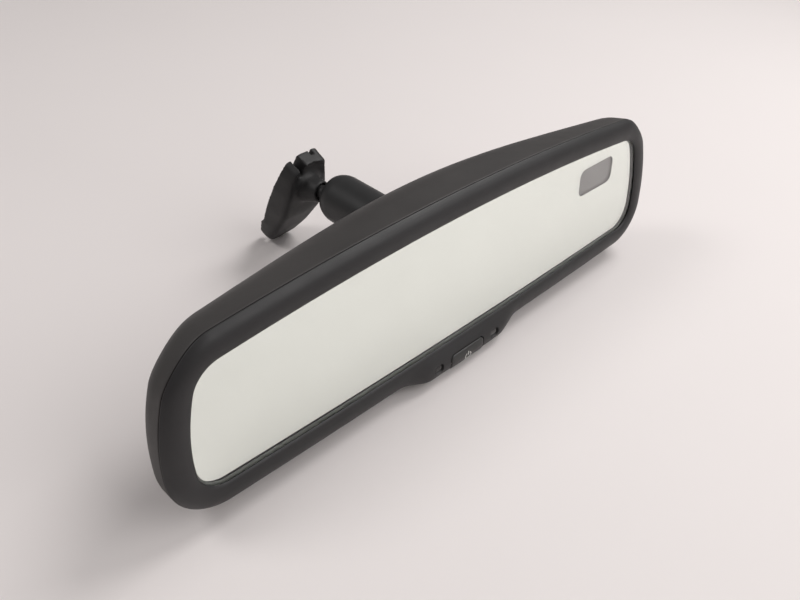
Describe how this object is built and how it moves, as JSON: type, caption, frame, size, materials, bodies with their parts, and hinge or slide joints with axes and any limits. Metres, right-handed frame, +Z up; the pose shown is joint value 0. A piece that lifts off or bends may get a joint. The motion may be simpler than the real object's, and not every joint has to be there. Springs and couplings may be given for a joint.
{
  "type": "interior rearview mirror",
  "caption": "Auto-dimming interior rearview mirror with a compass display window, power button, double-ball arm and windshield mounting foot.",
  "frame": {"origin": "on the foot's flat mounting face, midway between its slots and its channel", "axes": "+X along the mirror, to the right as seen facing the glass; -Y towards the viewer; +Z up from the table that the mirror leans on"},
  "size_m": [0.2639, 0.1253, 0.0781],
  "materials": {
    "casing": "fine-grained satin black",
    "bezel": "satin black, a little glossier than the casing",
    "button": null,
    "clear_glass": "polished",
    "mirror_coat": "reflective coat on polished glass",
    "seal": "cured sealant",
    "smoked": "smoked, gloss",
    "dark_lens": "dark, gloss",
    "foam": "closed-cell adhesive foam",
    "carrier": "moulded black",
    "board": "green solder mask",
    "chip": "moulded black epoxy",
    "tin": "tinned metal",
    "steel": "zinc-plated steel",
    "nylon": "natural nylon",
    "cast_foot": "black powder-coated zinc casting"
  },
  "bodies": {
    "mount_foot": {"mount_foot": "cast_foot", "foot_ball_stud": "steel", "retention_spring": "steel"},
    "foot_seat_cup": {"foot_seat_cup": "nylon"},
    "arm": {"arm_tube": "casing", "head_spring_washer": "steel", "arm_spring": "steel", "foot_spring_washer": "steel", "foot_seat_ring": "nylon"},
    "head_seat_cup": {"head_seat_cup": "nylon"},
    "head_seat_ring": {"head_seat_ring": "nylon"},
    "button": {"power_button": "button"},
    "head": {"bezel": "bezel", "rear_casing": "casing", "front_glass": "clear_glass", "gel_seal": "seal", "rear_glass": "mirror_coat", "bus_clip_upper": "tin", "bus_clip_lower": "tin", "adhesive_pad": "foam", "carrier_plate": "carrier", "display_mask": "smoked", "display_module": "chip", "circuit_board": "board", "controller_chip": "chip", "compass_sensor": "chip", "glass_driver": "chip", "inductor": "chip", "capacitor_1": "tin", "capacitor_2": "tin", "connector_header": "nylon", "connector_pin_1": "tin", "connector_pin_2": "tin", "connector_pin_3": "tin", "connector_pin_4": "tin", "connector_pin_5": "tin", "ambient_sensor": "chip", "ambient_lens": "dark_lens", "indicator_pipe": "smoked", "indicator_led": "chip", "glare_window": "dark_lens", "glare_sensor": "chip", "button_switch": "chip", "pivot_plate": "steel", "pivot_screw_1": "steel", "pivot_screw_2": "steel", "pivot_screw_3": "steel", "pivot_screw_4": "steel", "head_ball_stud": "steel"}
  },
  "joints": [
    {"name": "arm_swing", "type": "hinge", "parent": "mount_foot", "child": "foot_seat_cup", "pos_m": [0.00343, -0.03036, 0.00019], "axis": [0, 0.1444, 0.9895], "range_deg": [-15, 15]},
    {"name": "arm_tilt", "type": "hinge", "parent": "foot_seat_cup", "child": "arm", "pos_m": [0.00343, -0.03036, 0.00019], "axis": [1, 0, 0], "range_deg": [-15, 15]},
    {"name": "head_turn", "type": "hinge", "parent": "arm", "child": "head_seat_cup", "pos_m": [0.00343, -0.07176, 0.00249], "axis": [0, 0.1444, 0.9895], "range_deg": [-15, 15]},
    {"name": "head_tilt", "type": "hinge", "parent": "head_seat_cup", "child": "head_seat_ring", "pos_m": [0.00343, -0.07176, 0.00249], "axis": [1, 0, 0], "range_deg": [-15, 15]},
    {"name": "head_roll", "type": "hinge", "parent": "head_seat_ring", "child": "head", "pos_m": [0.00343, -0.07176, 0.00249], "axis": [0, 0.9895, -0.1444], "range_deg": [-12, 12]},
    {"name": "button_press", "type": "slide", "parent": "head", "child": "button", "axis": [0, 0.9895, -0.1444], "range_m": [0, 0.0008], "stiffness_N_per_m": 600, "springref_m": -0.001}
  ]
}
